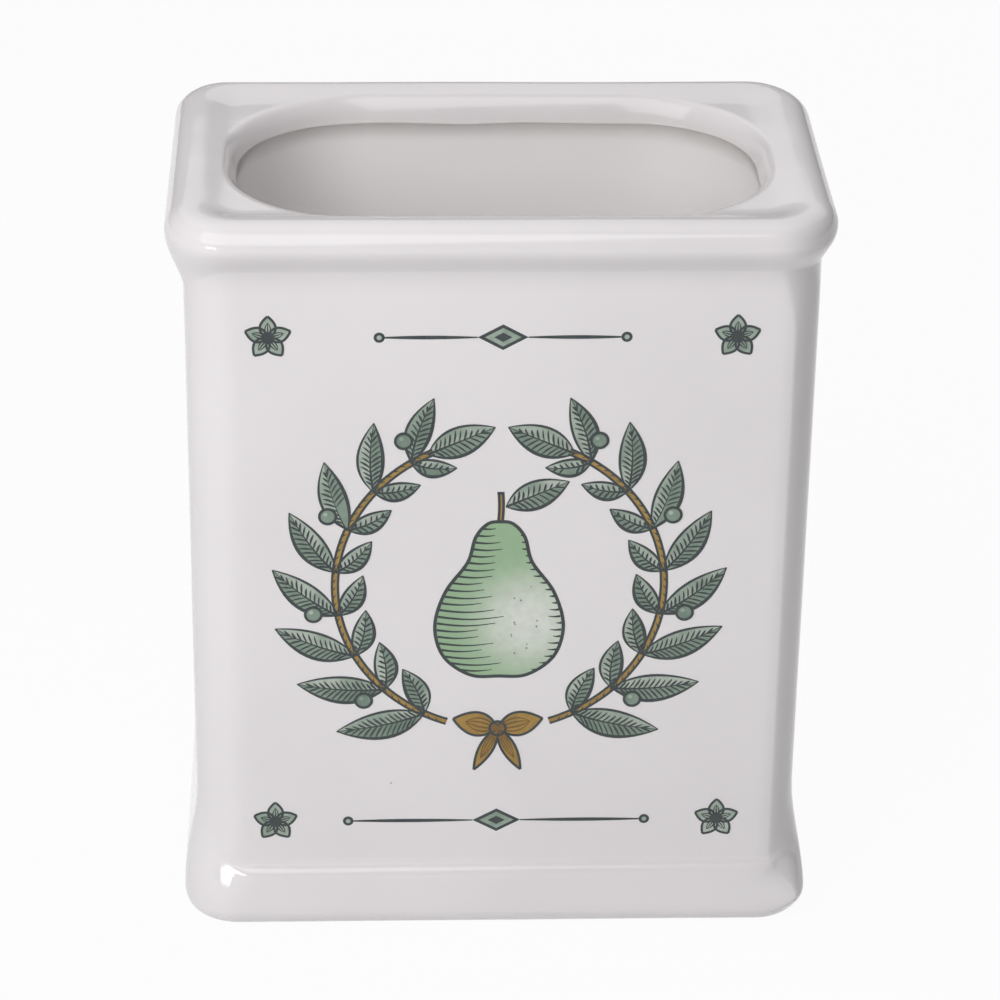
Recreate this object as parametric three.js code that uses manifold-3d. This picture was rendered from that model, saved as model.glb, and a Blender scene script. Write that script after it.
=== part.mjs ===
// An open ceramic crock in the form of an oil tin. The vessel is one slip casting: flared plinth,
// straight walls with rounded edges, a rolled rim, a shallow sunken deck and an oblong mouth with a
// rounded lip. A print of separate ceramic transfers lies on the flat front wall.
// Millimetres, +Z up, the front faces -Y, the origin is at the middle of the base.

import * as THREE from 'three';
import { mergeVertices } from 'three/addons/utils/BufferGeometryUtils.js';
import Module from 'manifold-3d';

const wasm = await Module();
wasm.setup();

// Walls and floor
const WALL_WIDTH = 113.8;
const WALL_DEPTH = 68.8;
const HEIGHT = 144.8;
const WALL_THICKNESS = 5;
const FLOOR_THICKNESS = 6;
const WALL_EDGE_RADIUS = 7;
const CAVITY_EDGE_RADIUS = 6;
const FLOOR_FILLET = 7;

// Plinth: a rounded foot, a face that leans in, a rounded top edge and a small cove into the wall
const PLINTH_FLARE = 2.7;
const PLINTH_HEIGHT = 12.6;
const PLINTH_LEAN = 0.7;
const PLINTH_TOP_EDGE_WIDTH = 1.6;
const PLINTH_TOP_EDGE_HEIGHT = 2.8;
const PLINTH_COVE_HEIGHT = 1.4;
const BASE_EDGE_WIDTH = 2.5;
const BASE_EDGE_HEIGHT = 3.5;

// Rim roll: its underside sweeps out from the wall, its crown turns over to the crest
const RIM_OVERHANG = 3.1;
const RIM_SWEEP_HEIGHT = 9.9;
const RIM_CROWN_WIDTH = 3.95;
const RIM_CROWN_HEIGHT = 3.9;

// Sunken deck and mouth
const DECK_DROP = 1.8;
const DECK_SLOPE_WIDTH = 4;
const MOUTH_SIDE_LAND = 12.1;
const MOUTH_FRONT_LAND = 10.6;
const MOUTH_CORNER_RADIUS = 23.5;
const LIP_RADIUS = 2.5;
const UNDERCUT_HEIGHT = 9;

// Print: its layer, how far it stays from the panel's edges, and the least gap between transfers
const PRINT_THICKNESS = 0.12;
const PRINT_MARGIN = 4;
const TRANSFER_GAP = 0.3;

// Wreath of two leafy branches
const BRANCH_WIDTH = 1.1;
const LEAF_PITCH = 9;
const LEAF_LENGTH = 17;
const LEAF_WIDTH = 5.6;
const INNER_LEAF_LENGTH = 10.5;
const INNER_LEAF_WIDTH = 4.2;
const LEAF_BEND = 1.3;
const LEAF_BELLY_SHARE = 0.42;
const LEAF_ANGLE = THREE.MathUtils.degToRad(40);
const TIP_LEAF_SHARE = 0.78;
const BRANCH_TOP_ANGLE = THREE.MathUtils.degToRad(66);
const BERRY_RADIUS = 1.5;
const BERRY_STALK = 4.6;
const BERRY_LEAN = THREE.MathUtils.degToRad(15);

// Bow that ties the branches at the bottom of the wreath
const BOW_LOOP_LENGTH = 8.6;
const BOW_LOOP_WIDTH = 5;
const BOW_LOOP_ANGLE = THREE.MathUtils.degToRad(14);
const BOW_TAIL_LENGTH = 10;
const BOW_TAIL_WIDTH = 2.6;
const BOW_TAIL_ANGLE = THREE.MathUtils.degToRad(-64);
const BOW_KNOT_RADIUS = 1.5;
const BOW_TO_BRANCH_GAP = 1.2;

// Pear in the middle of the wreath
const PEAR_CLEARANCE = 3.5;
const PEAR_SLIMNESS = 1.36;
// Its right-hand outline from foot to crown, as shares of its half width and height
const PEAR_OUTLINE = [
  [0.45, 0.01], [0.86, 0.13], [1, 0.33], [0.84, 0.55], [0.5, 0.74], [0.38, 0.9], [0.2, 0.985],
];
const PEAR_STALK_LENGTH = 5.5;
const PEAR_STALK_WIDTH = 1.3;
const PEAR_LEAF_LENGTH = 12.5;
const PEAR_LEAF_WIDTH = 5.4;
const PEAR_LEAF_ANGLE = THREE.MathUtils.degToRad(24);

// Ruled ornaments above and below the wreath, and rosettes at the four corners
const RULE_GAP = 3.6;
const TOP_RULE_LENGTH = 44;
const BASE_RULE_LENGTH = 56;
const RULE_WIDTH = 0.7;
const LOZENGE_LENGTH = 9;
const LOZENGE_HEIGHT = 5;
const RULE_END_RADIUS = 1;
const ROSETTE_PETALS = 5;
const ROSETTE_RADIUS = 4.2;
const ROSETTE_PETAL_WIDTH = 2.8;
const ROSETTE_HEART_RADIUS = 1.2;

// Fineness of the facets
const EDGE_SEGMENTS = 9;
const ROUND_STEPS = 5;
const LEAF_SEGMENTS = 5;
const DOT_SEGMENTS = 12;
const WREATH_SEGMENTS = 40;
const PEAR_SEGMENTS = 48;

const glaze = new THREE.MeshStandardMaterial({ color: '#e8e5e3', roughness: 0.15, metalness: 0 });
const sageInk = new THREE.MeshStandardMaterial({ color: '#7d9484', roughness: 0.3, metalness: 0 });
const paleGreenInk = new THREE.MeshStandardMaterial({ color: '#9dbf94', roughness: 0.3, metalness: 0 });
const ochreInk = new THREE.MeshStandardMaterial({ color: '#a5802f', roughness: 0.3, metalness: 0 });
const charcoalInk = new THREE.MeshStandardMaterial({ color: '#3c4447', roughness: 0.3, metalness: 0 });

// Levels and half sizes that follow from the driving dimensions
const halfWidth = WALL_WIDTH / 2;
const halfDepth = WALL_DEPTH / 2;
const rimWidest = HEIGHT - RIM_CROWN_HEIGHT;
const deckLevel = HEIGHT - DECK_DROP;
const lipLevel = deckLevel - LIP_RADIUS;
const wallBottom = PLINTH_HEIGHT + PLINTH_COVE_HEIGHT;
const wallTop = rimWidest - RIM_SWEEP_HEIGHT;

// A quarter turn in even steps, both ends included
const quarter = Array.from({ length: ROUND_STEPS + 1 }, (_, i) => (Math.PI / 2) * (i / ROUND_STEPS));

// A horizontal section of the casting: the wall's outline moved outwards by a distance, at a height
function wallSection(outwards, z) {
  return {
    x: halfWidth + outwards,
    y: halfDepth + outwards,
    radius: WALL_EDGE_RADIUS + outwards,
    z,
  };
}

// A section part of the way from one outline to another
function between(from, to, share, z) {
  const mix = (a, b) => a + (b - a) * share;
  return { x: mix(from.x, to.x), y: mix(from.y, to.y), radius: mix(from.radius, to.radius), z };
}

// Every section of the casting in order: up the outside, over the rim and lip, down the inside
function castingSections() {
  const baseEdge = quarter.map((t) =>
    wallSection(PLINTH_FLARE - BASE_EDGE_WIDTH * (1 - Math.sin(t)), BASE_EDGE_HEIGHT * (1 - Math.cos(t))));
  const edgeFoot = PLINTH_FLARE - PLINTH_LEAN;
  const plinthTop = quarter.map((t) => wallSection(
    edgeFoot - PLINTH_TOP_EDGE_WIDTH * (1 - Math.cos(t)),
    PLINTH_HEIGHT - PLINTH_TOP_EDGE_HEIGHT * (1 - Math.sin(t))));
  const plinthCove = quarter.slice(1).map((t) => wallSection(
    (edgeFoot - PLINTH_TOP_EDGE_WIDTH) * (1 - Math.sin(t)),
    wallBottom - PLINTH_COVE_HEIGHT * Math.cos(t)));
  const rimSweep = quarter.map((t) => wallSection(
    RIM_OVERHANG * (1 - Math.cos(2 * t)) / 2,
    wallTop + RIM_SWEEP_HEIGHT * (t / (Math.PI / 2))));
  const rimCrown = quarter.slice(1).map((t) => wallSection(
    RIM_OVERHANG - RIM_CROWN_WIDTH * (1 - Math.cos(t)),
    rimWidest + RIM_CROWN_HEIGHT * Math.sin(t)));
  const crest = RIM_OVERHANG - RIM_CROWN_WIDTH;
  const deckSlope = quarter.slice(1).map((t) => wallSection(
    crest - DECK_SLOPE_WIDTH * (t / (Math.PI / 2)),
    deckLevel + DECK_DROP * (1 + Math.cos(2 * t)) / 2));

  const mouth = {
    x: halfWidth + RIM_OVERHANG - MOUTH_SIDE_LAND,
    y: halfDepth + RIM_OVERHANG - MOUTH_FRONT_LAND,
    radius: MOUTH_CORNER_RADIUS,
  };
  const lip = quarter.map((t) => {
    const back = LIP_RADIUS * (1 - Math.sin(t));
    return {
      x: mouth.x + back,
      y: mouth.y + back,
      radius: mouth.radius + back,
      z: lipLevel + LIP_RADIUS * Math.cos(t),
    };
  });
  const cavity = {
    x: halfWidth - WALL_THICKNESS,
    y: halfDepth - WALL_THICKNESS,
    radius: CAVITY_EDGE_RADIUS,
  };
  const undercut = quarter.slice(1).map((t) =>
    between(mouth, cavity, (1 - Math.cos(2 * t)) / 2, lipLevel - UNDERCUT_HEIGHT * (t / (Math.PI / 2))));
  const floorFillet = quarter.map((t) => {
    const inwards = FLOOR_FILLET * (1 - Math.cos(t));
    return {
      x: cavity.x - inwards,
      y: cavity.y - inwards,
      radius: cavity.radius,
      z: FLOOR_THICKNESS + FLOOR_FILLET * (1 - Math.sin(t)),
    };
  });
  return [
    ...baseEdge, ...plinthTop, ...plinthCove, ...rimSweep, ...rimCrown,
    ...deckSlope, ...lip, ...undercut, ...floorFillet,
  ];
}

// The points of a section, anticlockwise from the right-hand side
function sectionPoints({ x, y, radius, z }) {
  const points = [];
  for (let corner = 0; corner < 4; corner += 1) {
    const sideX = corner === 0 || corner === 3 ? 1 : -1;
    const sideY = corner < 2 ? 1 : -1;
    for (let i = 0; i <= EDGE_SEGMENTS; i += 1) {
      const angle = (Math.PI / 2) * (corner + i / EDGE_SEGMENTS);
      points.push([
        sideX * (x - radius) + radius * Math.cos(angle),
        sideY * (y - radius) + radius * Math.sin(angle),
        z,
      ]);
    }
  }
  return points;
}

// The casting: a skin through all the sections, closed under the base and over the cavity's floor
function castBody() {
  const rings = castingSections().map(sectionPoints);
  const count = rings[0].length;
  const positions = rings.flat(2);
  const triangles = [];
  for (let r = 0; r + 1 < rings.length; r += 1) {
    for (let i = 0; i < count; i += 1) {
      const next = (i + 1) % count;
      const lower = r * count;
      const upper = lower + count;
      triangles.push(lower + i, lower + next, upper + next);
      triangles.push(lower + i, upper + next, upper + i);
    }
  }
  const baseCentre = positions.length / 3;
  positions.push(0, 0, 0, 0, 0, FLOOR_THICKNESS);
  const last = (rings.length - 1) * count;
  for (let i = 0; i < count; i += 1) {
    const next = (i + 1) % count;
    triangles.push(baseCentre, next, i);
    triangles.push(baseCentre + 1, last + i, last + next);
  }
  const geometry = new THREE.BufferGeometry();
  geometry.setAttribute('position', new THREE.Float32BufferAttribute(positions, 3));
  geometry.setIndex(triangles);
  geometry.computeVertexNormals();
  return geometry;
}

// A flat outline as a solid layer of print, ready to be joined to others
function layer(shape, segments) {
  const geometry = new THREE.ExtrudeGeometry(shape, {
    depth: PRINT_THICKNESS,
    bevelEnabled: false,
    curveSegments: segments,
  });
  geometry.deleteAttribute('normal');
  geometry.deleteAttribute('uv');
  const merged = mergeVertices(geometry);
  return new wasm.Manifold(new wasm.Mesh({
    numProp: 3,
    vertProperties: new Float32Array(merged.attributes.position.array),
    triVerts: new Uint32Array(merged.index.array),
  }));
}

// Layers joined into one transfer and laid on the front wall
function transfer(layers) {
  const joined = layers.reduce((sum, piece) => sum.add(piece)).getMesh();
  const geometry = new THREE.BufferGeometry();
  geometry.setAttribute('position', new THREE.Float32BufferAttribute(joined.vertProperties, 3));
  geometry.setIndex(new THREE.BufferAttribute(joined.triVerts, 1));
  geometry.rotateX(Math.PI / 2);
  geometry.translate(0, -halfDepth, 0);
  geometry.computeVertexNormals();
  return geometry;
}

// Outlines are drawn from a start point along a heading, both given in the plane of the wall
function along(start, angle, forward, sideways = 0) {
  const c = Math.cos(angle);
  const s = Math.sin(angle);
  return new THREE.Vector2(start.x + forward * c - sideways * s, start.y + forward * s + sideways * c);
}

// A pointed leaf, widest a little before its middle; bend moves its middle sideways
function leafShape(start, angle, length, width, bend = 0) {
  const tip = along(start, angle, length);
  const left = along(start, angle, length * LEAF_BELLY_SHARE, bend + width);
  const right = along(start, angle, length * LEAF_BELLY_SHARE, bend - width);
  const shape = new THREE.Shape();
  shape.moveTo(start.x, start.y);
  shape.quadraticCurveTo(right.x, right.y, tip.x, tip.y);
  shape.quadraticCurveTo(left.x, left.y, start.x, start.y);
  return shape;
}

function dotShape(centre, radius) {
  return new THREE.Shape(Array.from({ length: DOT_SEGMENTS }, (_, i) =>
    along(centre, (2 * Math.PI * i) / DOT_SEGMENTS, radius)));
}

function barShape(start, angle, length, width) {
  return new THREE.Shape([
    along(start, angle, 0, -width / 2),
    along(start, angle, length, -width / 2),
    along(start, angle, length, width / 2),
    along(start, angle, 0, width / 2),
  ]);
}

// The panel that the print lies on, and the wreath that fits it
const panelHalfWidth = halfWidth - WALL_EDGE_RADIUS;
const panelHalfHeight = (wallTop - wallBottom) / 2;
const panelCentre = new THREE.Vector2(0, (wallTop + wallBottom) / 2);
const ornamentZone = RULE_GAP + 2 * ROSETTE_RADIUS;
const wreathReach = Math.min(panelHalfWidth - PRINT_MARGIN, panelHalfHeight - PRINT_MARGIN - ornamentZone);
const leafReach = LEAF_LENGTH * Math.sin(LEAF_ANGLE) + LEAF_WIDTH / 4;
const branchRadius = wreathReach - leafReach;
const innerReach = branchRadius - INNER_LEAF_LENGTH * Math.sin(LEAF_ANGLE) - INNER_LEAF_WIDTH / 4;
const bowReach = BOW_LOOP_LENGTH * Math.cos(BOW_LOOP_ANGLE) + BOW_TO_BRANCH_GAP;
const branchBottomAngle = Math.asin(bowReach / branchRadius) - Math.PI / 2;
const ornamentRise = wreathReach + RULE_GAP + ROSETTE_RADIUS;
const branchSweep = BRANCH_TOP_ANGLE - branchBottomAngle;
const leafPairs = Math.round((branchRadius * branchSweep) / LEAF_PITCH);

// Half of the wreath: a curved twig with leaves in pairs, a leaf at its tip, and berries on stalks.
// side is 1 for the right-hand branch and -1 for its mirror image.
function branch(side) {
  const onTwig = (angle, out = 0) => new THREE.Vector2(
    panelCentre.x + side * (branchRadius + out) * Math.cos(angle),
    panelCentre.y + (branchRadius + out) * Math.sin(angle));
  const heading = (angle, lean) => (side > 0 ? angle + lean : Math.PI - angle - lean);

  const twigAngles = Array.from({ length: WREATH_SEGMENTS + 1 }, (_, i) =>
    branchBottomAngle + branchSweep * (i / WREATH_SEGMENTS));
  const twig = new THREE.Shape([
    ...twigAngles.map((a) => onTwig(a, BRANCH_WIDTH / 2)),
    ...twigAngles.reverse().map((a) => onTwig(a, -BRANCH_WIDTH / 2)),
  ]);
  const layers = [layer(twig, 1)];

  for (let i = 0; i < leafPairs; i += 1) {
    const share = (i + 0.5) / leafPairs;
    const angle = branchBottomAngle + branchSweep * share;
    const size = 1 - (1 - TIP_LEAF_SHARE) * share;
    const outer = heading(angle, Math.PI / 2 - LEAF_ANGLE);
    const inner = heading(angle, Math.PI / 2 + LEAF_ANGLE);
    const bend = side * LEAF_BEND;
    const outerLeaf = leafShape(onTwig(angle), outer, LEAF_LENGTH * size, LEAF_WIDTH * size, -bend);
    const innerLeaf = leafShape(onTwig(angle), inner, INNER_LEAF_LENGTH * size, INNER_LEAF_WIDTH * size, bend);
    layers.push(layer(outerLeaf, LEAF_SEGMENTS), layer(innerLeaf, LEAF_SEGMENTS));
    if (i % 2 === 1) {
      const stalkAngle = heading(angle, BERRY_LEAN);
      layers.push(layer(barShape(onTwig(angle), stalkAngle, BERRY_STALK, BRANCH_WIDTH / 2), 1));
      layers.push(layer(dotShape(along(onTwig(angle), stalkAngle, BERRY_STALK), BERRY_RADIUS), 1));
    }
  }
  const tipAngle = heading(BRANCH_TOP_ANGLE, Math.PI / 2);
  const tipStart = along(onTwig(BRANCH_TOP_ANGLE), tipAngle, -BRANCH_WIDTH);
  layers.push(layer(leafShape(tipStart, tipAngle, LEAF_LENGTH * TIP_LEAF_SHARE, LEAF_WIDTH), LEAF_SEGMENTS));
  return transfer(layers);
}

function bow() {
  const knot = along(panelCentre, -Math.PI / 2, branchRadius);
  const layers = [layer(dotShape(knot, BOW_KNOT_RADIUS), 1)];
  for (const side of [1, -1]) {
    const aim = (angle) => (side > 0 ? angle : Math.PI - angle);
    layers.push(layer(leafShape(knot, aim(BOW_LOOP_ANGLE), BOW_LOOP_LENGTH, BOW_LOOP_WIDTH), LEAF_SEGMENTS));
    layers.push(layer(leafShape(knot, aim(BOW_TAIL_ANGLE), BOW_TAIL_LENGTH, BOW_TAIL_WIDTH), LEAF_SEGMENTS));
  }
  return transfer(layers);
}

// The pear's body fills the wreath's middle, with room left over it for the stalk
const pearHeight = 2 * (innerReach - PEAR_CLEARANCE) - PEAR_STALK_LENGTH;
const pearTop = panelCentre.y + pearHeight / 2 - PEAR_STALK_LENGTH / 2;

function pear() {
  const half = pearHeight / PEAR_SLIMNESS / 2;
  const onSide = (side) => PEAR_OUTLINE.map(([across, up]) =>
    new THREE.Vector2(side * half * across, pearTop - pearHeight * (1 - up)));
  const foot = new THREE.Vector2(0, pearTop - pearHeight);
  const crown = new THREE.Vector2(0, pearTop);
  const outline = new THREE.SplineCurve([foot, ...onSide(1), crown, ...onSide(-1).reverse(), foot]);
  return transfer([layer(new THREE.Shape(outline.getPoints(PEAR_SEGMENTS)), 1)]);
}

function pearStalk() {
  const foot = new THREE.Vector2(0, pearTop + TRANSFER_GAP);
  const stalk = barShape(foot, Math.PI / 2, PEAR_STALK_LENGTH, PEAR_STALK_WIDTH);
  return transfer([layer(stalk, 1)]);
}

function pearLeaf() {
  const start = new THREE.Vector2(PEAR_STALK_WIDTH / 2 + TRANSFER_GAP, pearTop + PEAR_STALK_LENGTH / 2);
  const leaf = leafShape(start, PEAR_LEAF_ANGLE, PEAR_LEAF_LENGTH, PEAR_LEAF_WIDTH);
  return transfer([layer(leaf, LEAF_SEGMENTS)]);
}

// A thin rule with a lozenge in the middle and a dot at each end
function rule(length, rise) {
  const centre = new THREE.Vector2(panelCentre.x, panelCentre.y + rise);
  const left = along(centre, 0, -length / 2);
  const right = along(centre, 0, length / 2);
  const lozenge = new THREE.Shape([
    along(centre, 0, -LOZENGE_LENGTH / 2),
    along(centre, 0, 0, -LOZENGE_HEIGHT / 2),
    along(centre, 0, LOZENGE_LENGTH / 2),
    along(centre, 0, 0, LOZENGE_HEIGHT / 2),
  ]);
  return transfer([
    layer(barShape(left, 0, length, RULE_WIDTH), 1),
    layer(lozenge, 1),
    layer(dotShape(left, RULE_END_RADIUS), 1),
    layer(dotShape(right, RULE_END_RADIUS), 1),
  ]);
}

function rosette(sideX, sideZ) {
  const centre = new THREE.Vector2(
    panelCentre.x + sideX * (panelHalfWidth - PRINT_MARGIN - ROSETTE_RADIUS),
    panelCentre.y + sideZ * ornamentRise);
  const layers = [layer(dotShape(centre, ROSETTE_HEART_RADIUS), 1)];
  for (let i = 0; i < ROSETTE_PETALS; i += 1) {
    const angle = Math.PI / 2 + (2 * Math.PI * i) / ROSETTE_PETALS;
    layers.push(layer(leafShape(centre, angle, ROSETTE_RADIUS, ROSETTE_PETAL_WIDTH), LEAF_SEGMENTS));
  }
  return transfer(layers);
}

const crock = new THREE.Group();
crock.name = 'ceramic_crock';

function place(name, geometry, material) {
  const mesh = new THREE.Mesh(geometry, material);
  mesh.name = name;
  crock.add(mesh);
}

place('cast_body', castBody(), glaze);
place('left_branch_print', branch(-1), sageInk);
place('right_branch_print', branch(1), sageInk);
place('bow_print', bow(), ochreInk);
place('pear_print', pear(), paleGreenInk);
place('pear_stalk_print', pearStalk(), ochreInk);
place('pear_leaf_print', pearLeaf(), sageInk);
place('top_rule_print', rule(TOP_RULE_LENGTH, ornamentRise), charcoalInk);
place('base_rule_print', rule(BASE_RULE_LENGTH, -ornamentRise), charcoalInk);
for (const [height, sideZ] of [['upper', 1], ['lower', -1]]) {
  for (const [side, sideX] of [['left', -1], ['right', 1]]) {
    place(`${height}_${side}_rosette_print`, rosette(sideX, sideZ), charcoalInk);
  }
}

export default crock;
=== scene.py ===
"""Looks of an open ceramic crock in the form of an oil tin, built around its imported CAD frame.

The casting is one glazed mesh with the slight unevenness of slip casting. The print on its front wall is
a set of ceramic transfers, each drawn as thin closed layers of ink: washes of colour with engraved lines
over them. Sizes are in millimetres, and a mesh is turned into metres where it is made.
"""

import cmath
import math
import random
from collections import namedtuple

import bpy
import numpy as np
from mathutils import Matrix, Vector, noise
from mathutils.geometry import tessellate_polygon


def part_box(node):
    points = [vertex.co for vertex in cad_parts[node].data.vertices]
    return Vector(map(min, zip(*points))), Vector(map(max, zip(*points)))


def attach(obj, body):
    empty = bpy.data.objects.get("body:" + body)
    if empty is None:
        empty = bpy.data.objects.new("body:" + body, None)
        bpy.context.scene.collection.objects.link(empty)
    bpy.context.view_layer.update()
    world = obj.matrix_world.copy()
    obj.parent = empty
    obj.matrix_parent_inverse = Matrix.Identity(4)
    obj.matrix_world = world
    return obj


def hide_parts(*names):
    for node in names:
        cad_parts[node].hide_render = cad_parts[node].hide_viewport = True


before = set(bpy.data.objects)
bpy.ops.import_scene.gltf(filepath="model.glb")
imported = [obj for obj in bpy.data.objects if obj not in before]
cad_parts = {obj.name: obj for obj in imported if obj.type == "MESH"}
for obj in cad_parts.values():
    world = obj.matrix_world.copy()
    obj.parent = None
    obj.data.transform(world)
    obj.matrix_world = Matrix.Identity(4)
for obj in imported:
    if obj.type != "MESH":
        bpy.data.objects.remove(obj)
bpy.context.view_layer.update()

MM = 0.001

# Casting: the outer sizes come from the frame
body_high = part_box("cast_body")[1]
RIM_HALF_WIDTH = body_high.x / MM
RIM_HALF_DEPTH = body_high.y / MM
HEIGHT = body_high.z / MM
RIM_OVERHANG = 3.1
RIM_CROWN_WIDTH = 4.4
RIM_CROWN_HEIGHT = 4.3
WALL_HALF_WIDTH = RIM_HALF_WIDTH - RIM_OVERHANG
WALL_HALF_DEPTH = RIM_HALF_DEPTH - RIM_OVERHANG
WALL_THICKNESS = 5.0
FLOOR_THICKNESS = 6.0
FLOOR_FILLET = 7.0
CAVITY_EDGE_RADIUS = 6.0

# The rim's underside: how far down it reaches, and how full it is, from 0 for a soft S to 1 for a bulge
RIM_SWEEP_FRONT = 5.2
RIM_SWEEP_LEFT = 10.6
RIM_SWEEP_RIGHT = 6.4
RIM_FULLNESS = 0.6

# Upright edges, from the back right one anticlockwise: radii across the front and along the side, and
# how roundly they turn (2 is an ellipse, less is crisper). The radii grow by as much as a level stands out
# from the wall. The front right edge turns crisply out of the panel and then slowly into the side, and is
# mitred across the plinth. The others are rounder.
RIM_EDGES = [(8.5, 11.0, 2.0), (6.5, 8.0, 2.0), (8.5, 9.0, 2.0), (9.0, 11.0, 2.0)]
WALL_EDGES = [(7.0, 7.0, 2.0), (7.0, 7.0, 2.0), (10.0, 10.0, 2.0), (5.1, 10.0, 1.35)]
PLINTH_EDGES = [(7.0, 7.0, 2.0), (7.0, 7.0, 2.0), (9.0, 9.0, 2.0), (-0.4, 4.0, 1.7)]
FOOT_EDGES = [(7.0, 7.0, 2.0), (7.0, 7.0, 2.0), (8.0, 8.0, 2.0), (7.0, 7.0, 2.0)]

# The heights at which the upright edges have those radii
EDGE_LEVELS = [
    (0.5, FOOT_EDGES),
    (6.0, PLINTH_EDGES),
    (14.0, WALL_EDGES),
    (124.0, WALL_EDGES),
    (139.0, RIM_EDGES),
]

# The right-hand side swells out, a little more so towards the top, from a height just above the foot
SIDE_SWELL = 0.3
SIDE_LEAN = 0.2
SWELL_FOOT = 2.0

# Plinth
PLINTH_FLARE = 2.7
PLINTH_HEIGHT = 12.6
PLINTH_LEAN = 0.7
PLINTH_TOP_EDGE_WIDTH = 1.6
PLINTH_TOP_EDGE_HEIGHT = 3.0
PLINTH_COVE_HEIGHT = 1.5
BASE_EDGE_WIDTH = 2.5
BASE_EDGE_HEIGHT = 3.5

# The plinth's ledge runs along the front only: round the sides and the back it is one long sweep.
# It fades out towards the front left corner and stops short at the front right one.
SWEEP_LOW = 3.5
SWEEP_HIGH = 26.0
SWEEP_HIGH_AT_FRONT = 15.5
LEDGE_LEFT_FADE = (45.9, 51.5)
LEDGE_RIGHT_FADE = (51.5, 54.0)

# Sunken deck and mouth. The deck's slope is given by its distance in from the rim's outer face.
DECK_DROP = 1.2
DECK_SLOPE = (4.4, 11.0)
DECK_CORNER_RADIUS = 13.0
DECK_SIDE_LAND = 1.0
MOUTH_SIDE_LAND = 12.3
MOUTH_FRONT_LAND = 10.4
MOUTH_CORNER_RADIUS = 23.5

# Lip: its slope goes from 0 for a quarter round to 1 for a plain bevel. Its lower edge is wavy in the
# middle of the long sides and true at the ends. The glaze runs thin there, and the higher the power, the
# closer the thin glaze keeps to that edge.
LIP_RADIUS = 2.4
LIP_HEIGHT = 4.2
LIP_LOWER_RADIUS = 0.3
LIP_SLOPE = 0.45
LIP_WAVE = 0.9
LIP_WAVE_LENGTH = 13.0
LIP_WAVE_FADE = (30.0, 46.0)
LIP_THIN_POWER = 12

# Inside: a straight neck under the lip, and a shoulder that widens to the cavity
NECK_HEIGHT = 30.0
SHOULDER_HEIGHT = 24.0

# Unevenness of the casting, always inwards so that it stays within its outer sizes. The flat of the front
# panel stays true, up to a fade at its sides, above the plinth and under the rim.
WALL_UNEVENNESS = 0.22
LIP_UNEVENNESS = 0.15
UNEVENNESS_LENGTH = 34.0
PANEL_SIDE_FADE = (48.0, 56.0)
PANEL_LOW_FADE = (1.0, 4.0)
PANEL_HIGH_FADE = 4.0
PANEL_DEPTH = 0.5

# Fineness of the casting's mesh
CORNER_STEPS = 16
FRONT_STEPS = 44
SIDE_STEPS = 18
ROUND_STEPS = 10
PLINTH_STEPS = 5
WALL_STEPS = 30
RIM_STEPS = 20
DECK_STEPS = 14
LIP_LOWER_STEPS = 4
NECK_STEPS = 8
CAVITY_STEPS = 16
CAP_RINGS = 6

# Levels that follow
RIM_WIDEST = HEIGHT - RIM_CROWN_HEIGHT
WALL_TOP = RIM_WIDEST - RIM_SWEEP_FRONT
WALL_BOTTOM = PLINTH_HEIGHT + PLINTH_COVE_HEIGHT
DECK_LEVEL = HEIGHT - DECK_DROP
LIP_LEVEL = DECK_LEVEL - LIP_HEIGHT
LIP_BOTTOM = LIP_LEVEL - LIP_LOWER_RADIUS

# Print: how far the layers of ink stand off the wall, and how deep they are keyed into the glaze. Each
# layer of a transfer stands off by one small step more, up to a count of steps, so that no two fight.
PRINT_PLANE = -WALL_HALF_DEPTH
KEYED_IN = 0.02
WASH_LIFT = 0.02
SHADE_LIFT = 0.04
LINE_LIFT = 0.06
BERRY_LIFT = 0.09
LAYER_STEP = 0.0004
LAYER_STEPS = 61

# Wreath, as on the frame's transfers
PANEL_CENTRE = complex(0, 72.5)
WREATH_REACH = 42.5
BRANCH_WIDTH = 1.1
BRANCH_STEPS = 60
LEAF_PITCH = 9.0
LEAF_LENGTH = 17.0
LEAF_WIDTH = 5.6
INNER_LEAF_LENGTH = 10.5
INNER_LEAF_WIDTH = 4.2
LEAF_BEND = 1.3
LEAF_BELLY_SHARE = 0.42
LEAF_ANGLE = math.radians(40)
TIP_LEAF_SHARE = 0.78
BRANCH_TOP_ANGLE = math.radians(66)
BERRY_RADIUS = 1.5
BERRY_STALK = 4.6
BERRY_STALK_WIDTH = 0.44
BERRY_LEAN = math.radians(15)
BERRY_LIGHT_PLACE = complex(-0.4, 0.45)
BERRY_LIGHT_RADIUS = 0.4
BOW_LOOP_LENGTH = 8.6
BOW_LOOP_WIDTH = 5.0
BOW_LOOP_ANGLE = math.radians(14)
BOW_TAIL_LENGTH = 10.0
BOW_TAIL_WIDTH = 2.6
BOW_TAIL_ANGLE = math.radians(-64)
BOW_FOLDS = (-0.55, -0.2, 0.2, 0.55)
BOW_FOLD_REACH = 0.72
BOW_KNOT_RADIUS = 1.5
BOW_TO_BRANCH_GAP = 1.2
BRANCH_RADIUS = WREATH_REACH - LEAF_LENGTH * math.sin(LEAF_ANGLE) - LEAF_WIDTH / 4
BOW_REACH = BOW_LOOP_LENGTH * math.cos(BOW_LOOP_ANGLE) + BOW_TO_BRANCH_GAP
BRANCH_BOTTOM_ANGLE = math.asin(BOW_REACH / BRANCH_RADIUS) - math.pi / 2

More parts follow.
